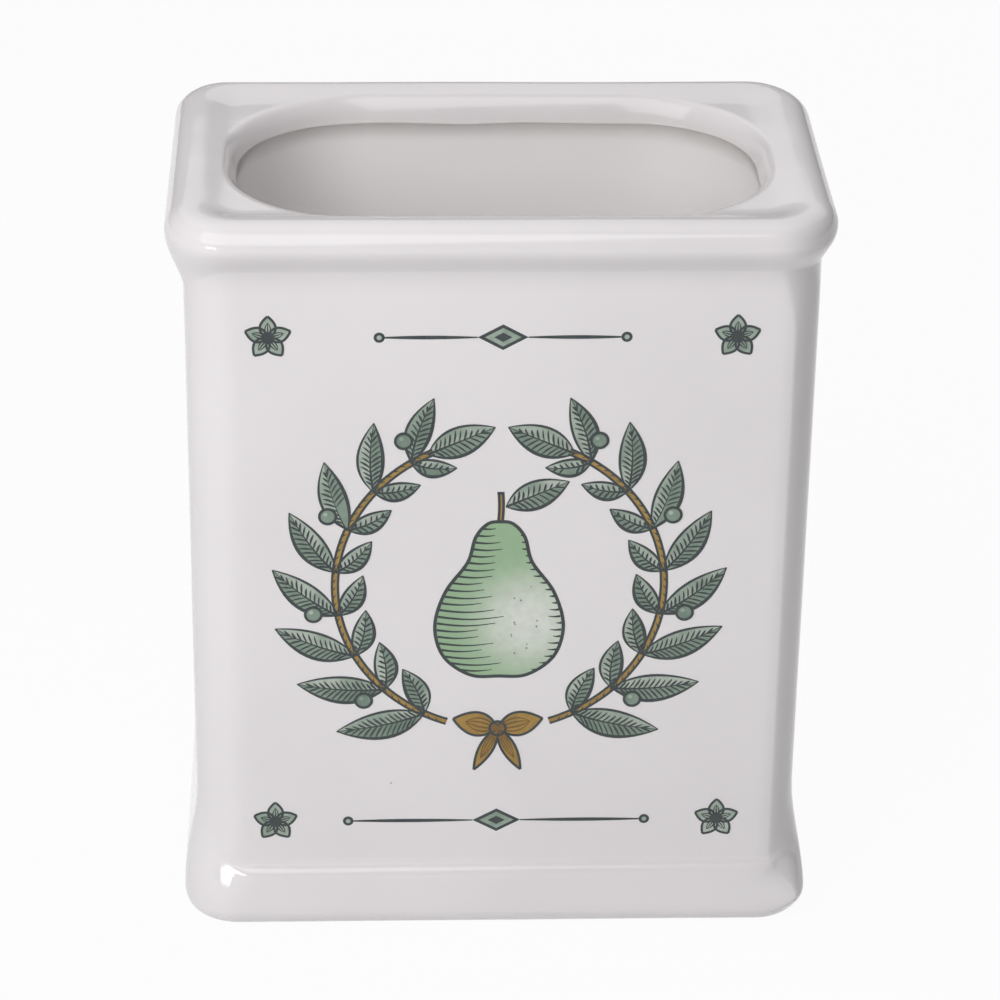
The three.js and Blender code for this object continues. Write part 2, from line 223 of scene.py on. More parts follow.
# Pear, from foot to crown as shares of its half width and height
PEAR_OUTLINE = [(0.45, 0.01), (0.86, 0.13), (1, 0.33), (0.84, 0.55), (0.5, 0.74), (0.38, 0.9), (0.2, 0.985)]
PEAR_STALK_WIDTH = 1.3
PEAR_STALK_BEND = 0.25
PEAR_LEAF_LENGTH = 12.5
PEAR_LEAF_WIDTH = 5.4
PEAR_LEAF_ANGLE = math.radians(24)

# The pear's light place from its centre and how far the light reaches, as shares of its height
PEAR_LIGHT_PLACE = complex(0.17, -0.14)
PEAR_LIGHT_REACH = (0.06, 0.46)

# The pear's strokes, which run in from its edge on the shaded side and on the lit side, and its freckles,
# as shares of its half width and height
PEAR_SEED = 11
PEAR_STROKE_START = 0.97
PEAR_STROKE_SAG = 0.05
PEAR_STROKE_STEPS = 12
PEAR_SHADED_REACH = (0.6, 1.05)
PEAR_LIT_REACH = (0.08, 0.2)
PEAR_FRECKLES = 12
PEAR_FRECKLE_SPREAD = (0.15, 0.6)
PEAR_FRECKLE_RADII = (0.12, 0.2)

# Rules and rosettes
RULE_WIDTH = 0.7
RULE_STEPS = 20
RULE_END_RADIUS = 1.0
RULE_EYE_RADIUS = 0.45
LOZENGE_LENGTH = 9.0
LOZENGE_HEIGHT = 5.0
LOZENGE_LAYERS = [
    (1, "charcoal_line", WASH_LIFT),
    (0.72, "leaf_wash", SHADE_LIFT),
    (0.36, "charcoal_line", LINE_LIFT),
]
ROSETTE_PETALS = 5
ROSETTE_RADIUS = 4.2
ROSETTE_PETAL_WIDTH = 2.8
ROSETTE_HEART_RADIUS = 1.2
ROSETTE_VEINS = (-0.35, 0, 0.35)
ROSETTE_VEIN_REACH = 0.7

# Engraved lines, how they thin out towards their ends, and how heavily the pen draws them
OUTLINE_WIDTH = 0.56
VEIN_WIDTH = 0.5
HATCH_WIDTH = 0.4
HATCH_PITCH = 1.15
PEAR_HATCH_PITCH = 1.35
LINE_END_SHARE = 0.3
LINE_TAPER = 0.8
PEN_FOLD = 1.3
PEN_SHADED = 1.2
PEN_FULL = 1.15
PEN_BERRY = 0.9
PEN_LIGHT = 0.85
PEN_FINE = 0.8
PEN_UNSTEADY = (0.75, 1.15)

# Bark marks on the twig: they start near its outer edge and slant in as they go along it
BARK_PITCH = 1.6
BARK_TURN = 0.012
BARK_EDGE = 0.4
BARK_SLANT = 0.25

# A leaf's side veins: where along the midrib they start, how much further on they end at the edge, how
# much of the way there they go on the shaded and on the lit half, and how far their middle is drawn on
FEWEST_VEINS = 4
VEIN_FIRST = 0.04
VEIN_SPREAD = 0.84
VEIN_SLANT = 0.12
VEIN_LAST = 0.98
VEIN_SHADED_REACH = 0.96
VEIN_LIT_REACH = (0.6, 0.85)
VEIN_BOW = 0.25
SHADED_SIDE_LEAN = 0.35

# Colours, as linear values
GLAZE_WHITE = (0.88, 0.848, 0.861, 1)
GLAZE_CLOUD = (0.85, 0.818, 0.828, 1)
# Inside the mouth the glaze is painted lighter than outside: painted light standing in for light that
# reaches the inside
INNER_PAINTED_LIGHT = (0.96, 0.938, 0.933, 1)
THIN_GLAZE = (0.80, 0.74, 0.66, 1)
BARE_CLAY = (0.66, 0.60, 0.53, 1)
IRON_SPECK = (0.16, 0.11, 0.08, 1)
SAGE_LIGHT = (0.50, 0.56, 0.49, 1)
SAGE = (0.25, 0.33, 0.265, 1)
SAGE_SHADE = (0.17, 0.24, 0.185, 1)
PALE_GREEN = (0.33, 0.50, 0.30, 1)
PALE_GREEN_LIGHT = (0.76, 0.79, 0.72, 1)
OCHRE = (0.44, 0.27, 0.06, 1)
OCHRE_SHADE = (0.22, 0.12, 0.025, 1)
CHARCOAL = (0.033, 0.043, 0.048, 1)
FLOOR_WHITE = (0.8, 0.8, 0.8, 1)
WHITE = (1, 1, 1, 1)

# Glaze. Waves and cells are counted to the metre, and reliefs are in millimetres.
GLASS_IOR = 1.5
GLAZE_SPECULAR = 0.4
GLAZE_ROUGHNESS = 0.05
GLAZE_DULLING = 0.05
GLAZE_DULLING_WAVES = 60
GLAZE_CLOUD_WAVES = 22
GLAZE_CLOUD_EDGE = (0.35, 0.7)
GLAZE_RELIEF = 0.06
RIPPLE_WAVES = 75
PEEL_WAVES = 700
PEEL_SHARE = 0.03
THIN_GLAZE_WAVES = 160
THIN_GLAZE_EDGE = (0.2, 0.75)
THIN_GLAZE_SHARE = 0.25
SPECK_CELLS = 55.0
SPECK_EDGE = (0.006, 0.012)
SPECK_RARITY = 0.9
SPECK_STRENGTH = 0.75
BARE_ROUGHNESS = 0.55
GRIT_WAVES = 900
GRIT_SHARE = 0.25

# Ink
INK_WAVES = 420
INK_MOTTLE_EDGE = (0.3, 0.7)
SAGE_WAVES = 190
PEAR_WAVES = 500
PEAR_MOTTLE_EDGE = (0.3, 0.75)
PEAR_MOTTLE = 0.18
INK_ROUGHNESS = 0.16
INK_DULLING = 0.1
INK_DULLING_WAVES = 900
INK_GRAIN_WAVES = 1500
INK_RELIEF = 0.004

# Studio: the floor shows this share of plain white to the camera, and the rest as lit
FLOOR_HALF = 4000.0
FLOOR_WHITE_SHARE = 0.95

# Camera
CAMERA_DISTANCE = 740.28
CAMERA_ELEVATION = math.radians(27.29)
CAMERA_YAW = math.radians(2.443)
CAMERA_ROLL = math.radians(0.8285)
CAMERA_TARGET = Vector((1.306, 0, 72.57))
CAMERA_LENS = 139.37
CAMERA_SENSOR = 36.0
CAMERA_NEAR = 10.0


# Finishes

class Wire:
    """A socket in a material's node tree. Arithmetic on it adds Math nodes."""

    def __init__(self, finish, socket):
        self.finish = finish
        self.socket = socket

    def math(self, operation, first, second):
        return self.finish.node("ShaderNodeMath", {"operation": operation}, {0: first, 1: second})

    def __add__(self, other):
        return self.math("ADD", self, other)

    def __radd__(self, other):
        return self.math("ADD", other, self)

    def __sub__(self, other):
        return self.math("SUBTRACT", self, other)

    def __rsub__(self, other):
        return self.math("SUBTRACT", other, self)

    def __mul__(self, other):
        return self.math("MULTIPLY", self, other)

    def __rmul__(self, other):
        return self.math("MULTIPLY", other, self)

    def __gt__(self, other):
        return self.math("GREATER_THAN", self, other)


class Finish:
    """A node tree under construction: a material's or the world's."""

    def __init__(self, owner):
        owner.use_nodes = True
        self.tree = owner.node_tree
        self.tree.nodes.clear()

    def node(self, kind, settings=None, sockets=None, output=0):
        """Adds a node. Settings come first, then the values or links of its sockets."""
        made = self.tree.nodes.new(kind)
        for key, value in (settings or {}).items():
            setattr(made, key, value)
        for key, value in (sockets or {}).items():
            if isinstance(value, Wire):
                self.tree.links.new(value.socket, made.inputs[key])
            else:
                made.inputs[key].default_value = value
        return Wire(self, made.outputs[output]) if made.outputs else None

    def mix(self, first, second, share):
        """A colour between two colours."""
        return self.node("ShaderNodeMix", {"data_type": "RGBA"}, {0: share, 6: first, 7: second}, 2)

    def place(self):
        """The point on the surface, in metres."""
        return self.node("ShaderNodeTexCoord", output="Object")

    def mark(self, name):
        """A value from 0 to 1 that the mesh carries under that name."""
        return self.node("ShaderNodeAttribute", {"attribute_name": name}, None, "Fac")

    def cloud(self, scale, detail=2.0, roughness=0.5):
        """Soft noise with that many waves to the metre, from 0 to 1."""
        sockets = {"Vector": self.place(), "Scale": scale, "Detail": detail, "Roughness": roughness}
        return self.node("ShaderNodeTexNoise", None, sockets)

    def between(self, value, low, high):
        """0 below low, 1 above high, smooth between them."""
        settings = {"interpolation_type": "SMOOTHSTEP"}
        sockets = {"Value": value, "From Min": low, "From Max": high}
        return self.node("ShaderNodeMapRange", settings, sockets)

    def bump(self, height, relief):
        """A normal from a height between 0 and 1, with that relief in millimetres."""
        sockets = {"Height": height, "Strength": 1.0, "Distance": relief * MM}
        return self.node("ShaderNodeBump", None, sockets)

    def surface(self, sockets):
        """The glossy surface itself, joined to the output."""
        shader = self.node("ShaderNodeBsdfPrincipled", None, sockets)
        self.node("ShaderNodeOutputMaterial", None, {"Surface": shader})


def new_finish(name):
    material = bpy.data.materials.new(name)
    return material, Finish(material)


def iron_specks(finish):
    """1 in a few small specks, 0 elsewhere."""
    cells = {"Vector": finish.place(), "Scale": SPECK_CELLS}
    distance = finish.node("ShaderNodeTexVoronoi", None, cells, "Distance")
    tint = finish.node("ShaderNodeTexVoronoi", None, cells, "Color")
    chance = finish.node("ShaderNodeSeparateColor", None, {"Color": tint}, "Red")
    return (1 - finish.between(distance, *SPECK_EDGE)) * (chance > SPECK_RARITY)


def white_glaze():
    """Glossy white glaze: clouded, painted lighter inside the mouth as painted light, warm where it runs
    thin, with a few iron specks.
    Under the base the clay is bare."""
    material, finish = new_finish("white_glaze")
    clouds = finish.between(finish.cloud(GLAZE_CLOUD_WAVES, detail=3.0), *GLAZE_CLOUD_EDGE)
    broken = finish.between(finish.cloud(THIN_GLAZE_WAVES, detail=3.0), *THIN_GLAZE_EDGE)
    bare = finish.mark("bare_clay")
    colour = finish.mix(GLAZE_WHITE, GLAZE_CLOUD, clouds)
    # Painted light: the inside is painted in a lighter copy of the glaze
    colour = finish.mix(colour, INNER_PAINTED_LIGHT, finish.mark("painted_light_inside"))
    colour = finish.mix(colour, THIN_GLAZE, THIN_GLAZE_SHARE * (finish.mark("thin_glaze") * broken))
    colour = finish.mix(colour, IRON_SPECK, SPECK_STRENGTH * iron_specks(finish))
    colour = finish.mix(colour, BARE_CLAY, bare)
    roughness = GLAZE_ROUGHNESS + GLAZE_DULLING * finish.cloud(GLAZE_DULLING_WAVES) + BARE_ROUGHNESS * bare
    ripple = finish.cloud(RIPPLE_WAVES, detail=1.0)
    peel = finish.cloud(PEEL_WAVES, detail=1.0)
    grit = finish.cloud(GRIT_WAVES)
    height = ripple + PEEL_SHARE * peel + GRIT_SHARE * (bare * grit)
    finish.surface({
        "Base Color": colour,
        "Roughness": roughness,
        "IOR": GLASS_IOR,
        "Specular IOR Level": GLAZE_SPECULAR,
        "Normal": finish.bump(height, GLAZE_RELIEF),
    })
    return material


def ink_surface(finish, colour):
    """The surface of a fired-on ink: glossy like the glaze, with a fine grain."""
    finish.surface({
        "Base Color": colour,
        "Roughness": INK_ROUGHNESS + INK_DULLING * finish.cloud(INK_DULLING_WAVES, detail=1.0),
        "IOR": GLASS_IOR,
        "Normal": finish.bump(finish.cloud(INK_GRAIN_WAVES, detail=1.0), INK_RELIEF),
    })


def ink(name, colour, shade, depth, waves=INK_WAVES):
    """A fired-on ink, uneven in strength, with that many waves to the metre."""
    material, finish = new_finish(name)
    mottle = finish.between(finish.cloud(waves, detail=3.0, roughness=0.6), *INK_MOTTLE_EDGE)
    ink_surface(finish, finish.mix(colour, shade, mottle * depth))
    return material


def pear_ink(centre, height):
    """Pale green ink that lightens towards a light place on the pear's lower right side."""
    material, finish = new_finish("pale_green_enamel")
    spot = centre + PEAR_LIGHT_PLACE * height
    sockets = {0: finish.place(), 1: Vector((spot.real, PRINT_PLANE, spot.imag)) * MM}
    away = finish.node("ShaderNodeVectorMath", {"operation": "DISTANCE"}, sockets, "Value")
    tone = finish.between(away, *(share * height * MM for share in PEAR_LIGHT_REACH))
    mottle = finish.between(finish.cloud(PEAR_WAVES, detail=3.0, roughness=0.6), *PEAR_MOTTLE_EDGE)
    colour = finish.mix(PALE_GREEN_LIGHT, PALE_GREEN, tone)
    ink_surface(finish, finish.mix(colour, SAGE, mottle * PEAR_MOTTLE))
    return material


# Meshes

def smooth(value, low, high):
    """0 below low, 1 above high, smooth between them. Works on arrays."""
    share = np.clip((value - low) / (high - low), 0, 1)
    return share * share * (3 - 2 * share)


def soft_noise(place, length):
    """Soft noise from 0 to 1 at a place, with waves of that length."""
    return 0.5 + 0.5 * noise.noise(place / length)


def new_piece(name, points, faces, materials, face_materials=None):
    """A mesh object from points in millimetres."""
    mesh = bpy.data.meshes.new(name)
    mesh.from_pydata([tuple(MM * float(c) for c in p) for p in points], [], faces)
    for material in materials:
        mesh.materials.append(material)
    if face_materials is not None:
        mesh.polygons.foreach_set("material_index", face_materials)
    mesh.update()
    piece = bpy.data.objects.new(name, mesh)
    bpy.context.scene.collection.objects.link(piece)
    return piece


# Casting

# A level of the casting: half sizes, the four upright edges, the height, how far the height follows the
# rim's uneven underside, how thin the glaze runs there and how far the casting is uneven
Level = namedtuple("Level", "half_x half_y edges z droop thin uneven")
CORNERS = [(1, 1), (-1, 1), (-1, -1), (1, -1)]


def quarter(steps=ROUND_STEPS, first=0):
    """A quarter turn in even steps, as angles."""
    return [math.pi / 2 * i / steps for i in range(first, steps + 1)]


def edges_at(z):
    """The radii of the four upright edges at a height."""
    edges = EDGE_LEVELS[0][1]
    for (low, _), (high, upper) in zip(EDGE_LEVELS, EDGE_LEVELS[1:]):
        share = smooth(z, low, high)
        edges = [tuple(a + (b - a) * share for a, b in zip(*pair)) for pair in zip(edges, upper)]
    return edges


def wall_level(outwards, z, droop=0.0):
    """The wall's outline moved outwards by a distance, at a height."""
    edges = [(rx + outwards, ry + outwards, turn) for rx, ry, turn in edges_at(z)]
    half_x = WALL_HALF_WIDTH + outwards
    half_y = WALL_HALF_DEPTH + outwards
    return Level(half_x, half_y, edges, z, droop, 0.0, WALL_UNEVENNESS)


def even_level(half_x, half_y, radius, z, thin=0.0, uneven=WALL_UNEVENNESS):
    """A level whose four edges are alike."""
    return Level(half_x, half_y, [(radius, radius, 2.0)] * 4, z, 0.0, thin, uneven)


def mouth_level(back, z, thin):
    """The mouth's outline moved back from the opening by a distance."""
    half_x = RIM_HALF_WIDTH - MOUTH_SIDE_LAND + back
    half_y = RIM_HALF_DEPTH - MOUTH_FRONT_LAND + back
    return even_level(half_x, half_y, MOUTH_CORNER_RADIUS + back, z, thin, LIP_UNEVENNESS)


def level_between(first, second, share, z):
    """A level part of the way from one outline to another."""
    def mix(a, b):
        return a + (b - a) * share

    edges = [tuple(map(mix, a, b)) for a, b in zip(first.edges, second.edges)]
    half_x = mix(first.half_x, second.half_x)
    half_y = mix(first.half_y, second.half_y)
    return Level(half_x, half_y, edges, z, 0.0, 0.0, mix(first.uneven, second.uneven))


def outside_levels():
    """Up the outside: foot, plinth, wall and rim, to the rim's crest."""
    levels = []
    for t in quarter():
        outwards = PLINTH_FLARE - BASE_EDGE_WIDTH * (1 - math.sin(t))
        levels.append(wall_level(outwards, BASE_EDGE_HEIGHT * (1 - math.cos(t))))
    edge_foot = PLINTH_FLARE - PLINTH_LEAN
    edge_low = PLINTH_HEIGHT - PLINTH_TOP_EDGE_HEIGHT
    for i in range(1, PLINTH_STEPS):
        share = i / PLINTH_STEPS
        z = BASE_EDGE_HEIGHT + (edge_low - BASE_EDGE_HEIGHT) * share
        levels.append(wall_level(PLINTH_FLARE - PLINTH_LEAN * share, z))
    for t in quarter():
        outwards = edge_foot - PLINTH_TOP_EDGE_WIDTH * (1 - math.cos(t))
        levels.append(wall_level(outwards, edge_low + PLINTH_TOP_EDGE_HEIGHT * math.sin(t)))
    for t in quarter(first=1):
        outwards = (edge_foot - PLINTH_TOP_EDGE_WIDTH) * (1 - math.sin(t))
        levels.append(wall_level(outwards, WALL_BOTTOM - PLINTH_COVE_HEIGHT * math.cos(t)))
    for i in range(1, WALL_STEPS):
        share = i / WALL_STEPS
        levels.append(wall_level(0, WALL_BOTTOM + (WALL_TOP - WALL_BOTTOM) * share, share))
    for t in quarter(RIM_STEPS):
        share = t / (math.pi / 2)
        soft = (1 - math.cos(2 * t)) / 2
        outwards = RIM_OVERHANG * (soft + RIM_FULLNESS * (math.sin(t) - soft))
        levels.append(wall_level(outwards, WALL_TOP + RIM_SWEEP_FRONT * share, 1 - share))
    for t in quarter(first=1):
        outwards = RIM_OVERHANG - RIM_CROWN_WIDTH * (1 - math.cos(t))
        levels.append(wall_level(outwards, RIM_WIDEST + RIM_CROWN_HEIGHT * math.sin(t)))
    return levels


def deck_levels(crest):
    """From the rim's crest in to the lip. The deck's own heights are set once its points are known."""
    lip = mouth_level(LIP_RADIUS, DECK_LEVEL, 0.0)
    return [level_between(crest, lip, i / DECK_STEPS, DECK_LEVEL) for i in range(1, DECK_STEPS)]


def inside_levels():
    """Over the lip and down the inside, from the mouth's outline to the cavity's and on to its floor."""
    levels = []
    for t in quarter():
        left = 1 - t / (math.pi / 2)
        z = LIP_LEVEL + LIP_HEIGHT * (LIP_SLOPE * left + (1 - LIP_SLOPE) * math.cos(t))
        back = LIP_RADIUS * (LIP_SLOPE * left + (1 - LIP_SLOPE) * (1 - math.sin(t)))
        levels.append(mouth_level(back, z, math.sin(t) ** LIP_THIN_POWER))
    for t in quarter(LIP_LOWER_STEPS, 1):
        z = LIP_LEVEL - LIP_LOWER_RADIUS * math.sin(t)
        levels.append(mouth_level(LIP_LOWER_RADIUS * (1 - math.cos(t)), z, 1.0))
    neck = mouth_level(LIP_LOWER_RADIUS, LIP_BOTTOM, 0.0)
    for i in range(1, NECK_STEPS):
        levels.append(neck._replace(z=LIP_BOTTOM - NECK_HEIGHT * i / NECK_STEPS))
    cavity_x = WALL_HALF_WIDTH - WALL_THICKNESS
    cavity_y = WALL_HALF_DEPTH - WALL_THICKNESS
    cavity = even_level(cavity_x, cavity_y, CAVITY_EDGE_RADIUS, 0.0)
    shoulder = LIP_BOTTOM - NECK_HEIGHT
    for t in quarter():
        share = t / (math.pi / 2)
        levels.append(level_between(neck, cavity, math.sin(t) ** 2, shoulder - SHOULDER_HEIGHT * share))
    top = shoulder - SHOULDER_HEIGHT
    bottom = FLOOR_THICKNESS + FLOOR_FILLET
    for i in range(1, CAVITY_STEPS):
        levels.append(cavity._replace(z=top + (bottom - top) * i / CAVITY_STEPS))
    for t in quarter():
        inwards = FLOOR_FILLET * (1 - math.cos(t))
        z = FLOOR_THICKNESS + FLOOR_FILLET * (1 - math.sin(t))
        levels.append(even_level(cavity_x - inwards, cavity_y - inwards, CAVITY_EDGE_RADIUS, z))
    return levels


def ring(level):
    """The points of a level and the ways they face, anticlockwise from the right-hand side."""
    corners = []
    for number, ((side_x, side_y), (rx, ry, roundness)) in enumerate(zip(CORNERS, level.edges)):
        corner = []
        for i in range(CORNER_STEPS + 1):
            turn = math.pi / 2 * (number + i / CORNER_STEPS)
            across = abs(math.cos(turn))
            x = level.half_x - rx * (1 - across)
            y = level.half_y - ry * (1 - math.sqrt(1 - across ** roundness))
            corner.append((side_x * x, side_y * y, turn))
        corners.append(corner)
    points = []
    for number, corner in enumerate(corners):
        points += corner
        start_x, start_y, turn = corner[-1]
        end_x, end_y, _ = corners[(number + 1) % 4][0]
        steps = FRONT_STEPS if number % 2 == 0 else SIDE_STEPS
        for i in range(1, steps):
            share = i / steps
            points.append((start_x + (end_x - start_x) * share, start_y + (end_y - start_y) * share, turn))
    return np.array(points)


def outward_ways():
    """The way each point of a ring faces."""
    turn = ring(wall_level(0, 0))[:, 2]
    return np.stack([np.cos(turn), np.sin(turn)], axis=1)


def swell_at(z):
    """How far the right-hand side stands out at a height: not at all at the rim and at the foot."""
    share = np.clip((z - WALL_BOTTOM) / (WALL_TOP - WALL_BOTTOM), 0, 1)
    swell = SIDE_SWELL + SIDE_LEAN * (2 * share - 1)
    return swell * (1 - smooth(z, WALL_TOP, RIM_WIDEST)) * smooth(z, SWELL_FOOT, WALL_BOTTOM)


def casting_skin(levels):
    """Every level's points as one array of rows, with the rim's uneven underside."""
    rows = []
    for level in levels:
        x, y, turn = ring(level).T
        leftwards = np.clip(-np.cos(turn), 0, 1)
        rightwards = np.clip(np.cos(turn), 0, 1)
        extra = (RIM_SWEEP_LEFT - RIM_SWEEP_FRONT) * leftwards ** 2
        extra = extra + (RIM_SWEEP_RIGHT - RIM_SWEEP_FRONT) * rightwards ** 2
        z = np.full_like(x, level.z) - level.droop * extra
        x = x + rightwards ** 2 * swell_at(level.z)
        rows.append(np.stack([x, y, z], axis=1))
    return np.array(rows)


def sweep_plinth(skin, levels, count):
    """Turns the plinth's ledge into one long sweep away from the front, over the first count levels."""
    x, y, z = skin[:count].transpose(2, 0, 1)
    outwards = outward_ways()
    on_ledge = (1 - smooth(-x, *LEDGE_LEFT_FADE)) * (1 - smooth(x, *LEDGE_RIGHT_FADE)) * (y < 0)
    top = SWEEP_HIGH_AT_FRONT + (SWEEP_HIGH - SWEEP_HIGH_AT_FRONT) * outwards[:, 0] ** 2
    rise = np.clip((z - SWEEP_LOW) / (top - SWEEP_LOW), 0, 1)
    sweep = PLINTH_FLARE * (1 + np.cos(math.pi * rise)) / 2
    now = np.array([level.half_x - WALL_HALF_WIDTH for level in levels[:count]])[:, None]
    change = (sweep - now) * (1 - on_ledge) * (z > SWEEP_LOW)
    skin[:count, :, :2] += outwards * change[..., None]


def sink_deck(skin, crest, lip):
    """Sets the deck's heights by the distance in from the rim, from the crest's row to the lip's first row.
    Where the deck is narrow the lip starts higher, and it comes back to its own height lower down."""
    half = np.array([RIM_HALF_WIDTH - DECK_SIDE_LAND, RIM_HALF_DEPTH]) - DECK_CORNER_RADIUS
    beyond = np.abs(skin[crest + 1:lip + 1, :, :2]) - half
    outside = np.linalg.norm(np.maximum(beyond, 0), axis=2)
    inside = np.minimum(beyond.max(axis=2), 0)
    away = DECK_CORNER_RADIUS - outside - inside
    height = HEIGHT - DECK_DROP * smooth(away, *DECK_SLOPE)
    skin[crest + 1:lip, :, 2] = height[:-1]
    for step in range(ROUND_STEPS):
        skin[lip + step, :, 2] += (height[-1] - DECK_LEVEL) * (1 - step / ROUND_STEPS)


def press_unevenly(skin, levels):
    """Presses the skin in by soft noise, and draws the lip's lower edge down in waves. The flat of the
    front panel, which takes the print, stays true."""
    up = np.gradient(skin, axis=0)
    around = np.roll(skin, -1, axis=1) - np.roll(skin, 1, axis=1)
    normal = np.cross(around, up)
    normal /= np.maximum(np.linalg.norm(normal, axis=2, keepdims=True), 1e-9)
    x, y, z = skin.transpose(2, 0, 1)
    panel = (y < PRINT_PLANE + PANEL_DEPTH) * (1 - smooth(np.abs(x), *PANEL_SIDE_FADE))
    panel = panel * smooth(z - WALL_BOTTOM, *PANEL_LOW_FADE)
    panel = panel * (1 - smooth(z, WALL_TOP - PANEL_HIGH_FADE, WALL_TOP))
    wavy = 1 - smooth(np.abs(x), *LIP_WAVE_FADE)
    for row, level in enumerate(levels):
        for column in range(skin.shape[1]):
            place = Vector(skin[row, column])
            depth = level.uneven * soft_noise(place, UNEVENNESS_LENGTH) * (1 - panel[row, column])
            wave = level.thin * LIP_WAVE * soft_noise(place, LIP_WAVE_LENGTH) * wavy[row, column]
            skin[row, column] -= normal[row, column] * depth
            skin[row, column, 2] -= wave


def casting_faces(rows, columns):
    """The faces between rows of points, closed by fans to two points at the end: the first below the first
    row, the second above the last."""
    faces = []
    for row in range(rows - 1):
        for column in range(columns):
            after = (column + 1) % columns
            low = row * columns
            high = low + columns
            faces.append((low + column, low + after, high + after, high + column))
    base = rows * columns
    floor_point = base + 1
    last = base - columns
    for column in range(columns):
        after = (column + 1) % columns
        faces.append((base, after, column))
        faces.append((floor_point, last + column, last + after))
    return faces


def cast_body():
    """The casting as one closed mesh, marked where its glaze is thin, where the inside is painted lighter
    as painted light, and where the glaze is missing.
    """
    outside = outside_levels()
    deck = deck_levels(outside[-1])
    levels = outside + deck + inside_levels()
    lip = len(outside) + len(deck)
    skin = casting_skin(levels)
    sweep_plinth(skin, levels, sum(level.z < WALL_TOP for level in outside))
    sink_deck(skin, len(outside) - 1, lip)
    press_unevenly(skin, levels)
    skin[..., 2] = np.clip(skin[..., 2], 0, HEIGHT)
    base_centre = np.zeros(3)
    floor_centre = np.array([0, 0, FLOOR_THICKNESS])
    base_rings = [base_centre + (skin[0] - base_centre) * i / CAP_RINGS for i in range(1, CAP_RINGS)]
    floor_rings = [skin[-1] + (floor_centre - skin[-1]) * i / CAP_RINGS for i in range(1, CAP_RINGS)]
    grid = np.concatenate([base_rings, skin, floor_rings])
    rows, columns = grid.shape[:2]
    points = [*grid.reshape(-1, 3), base_centre, floor_centre]
    faces = casting_faces(rows, columns)
    piece = new_piece("glazed_casting", points, faces, [white_glaze()])
    piece.data.polygons.foreach_set("use_smooth", [True] * len(faces))
    skin_start = len(base_rings)
    inner_start = skin_start + lip + ROUND_STEPS
    thin = [0.0] * len(base_rings) + [level.thin for level in levels] + [0.0] * len(floor_rings)
    # Rows of the inside, where the glaze is painted lighter as painted light
    inner = [float(row >= inner_start) for row in range(rows)]
    bare = [float(row < skin_start) for row in range(rows)]
    marks = [
        ("thin_glaze", thin, (0.0, 0.0)),
        ("painted_light_inside", inner, (0.0, 1.0)),
        ("bare_clay", bare, (1.0, 0.0)),
    ]
    for name, values, ends in marks:
        attribute = piece.data.attributes.new(name, "FLOAT", "POINT")
        attribute.data.foreach_set("value", [*np.repeat(values, columns), *ends])
    return piece


# Print

def along(start, angle, forward, sideways=0.0):
    """A point reached from start along a heading, in the plane of the wall."""
    return start + complex(forward, sideways) * cmath.exp(1j * angle)


def bezier(start, control, end, steps=14):
    """A curve from start to end, drawn towards a control point."""
    shares = [i / steps for i in range(steps + 1)]
    return [start * (1 - t) ** 2 + 2 * control * t * (1 - t) + end * t * t for t in shares]


def at_share(path, share):
    """The point at a share of the way along a path."""
    step = share * (len(path) - 1)
    i = min(int(step), len(path) - 2)
    return path[i] + (path[i + 1] - path[i]) * (step - i)


def circle(centre, radius, steps=28):
    return [along(centre, 2 * math.pi * i / steps, radius) for i in range(steps)]


def blade(start, angle, length, width, bend=0.0):
    """The two curved sides of a leaf, a petal or a loop of ribbon, each from its root to its tip."""
    tip = along(start, angle, length)
    belly = length * LEAF_BELLY_SHARE
    return [bezier(start, along(start, angle, belly, bend + side * width), tip) for side in (1, -1)]


def enclosed(out, back):
    """The outline between two paths with the same ends."""
    return out + back[-2:0:-1]


def rounded(points, steps=8):
    """A smooth closed outline through points."""
    count = len(points)
    outline = []
    for i in range(count):
        before, start, end, after = (points[(i + k - 1) % count] for k in range(4))
        for step in range(steps):
            t = step / steps
            outline.append(0.5 * (2 * start + (end - before) * t
                                  + (2 * before - 5 * start + 4 * end - after) * t ** 2
                                  + (3 * start - before - 3 * end + after) * t ** 3))
    return outline


def even(width):
    return lambda share: width


def tapered(width):
    """Thin at both ends and full in the middle."""
    return lambda share: width * (LINE_END_SHARE + (1 - LINE_END_SHARE) * math.sin(math.pi * share))


def pointed(width):
    """Full at the start and thin at the end."""
    return lambda share: width * (1 - LINE_TAPER * share)


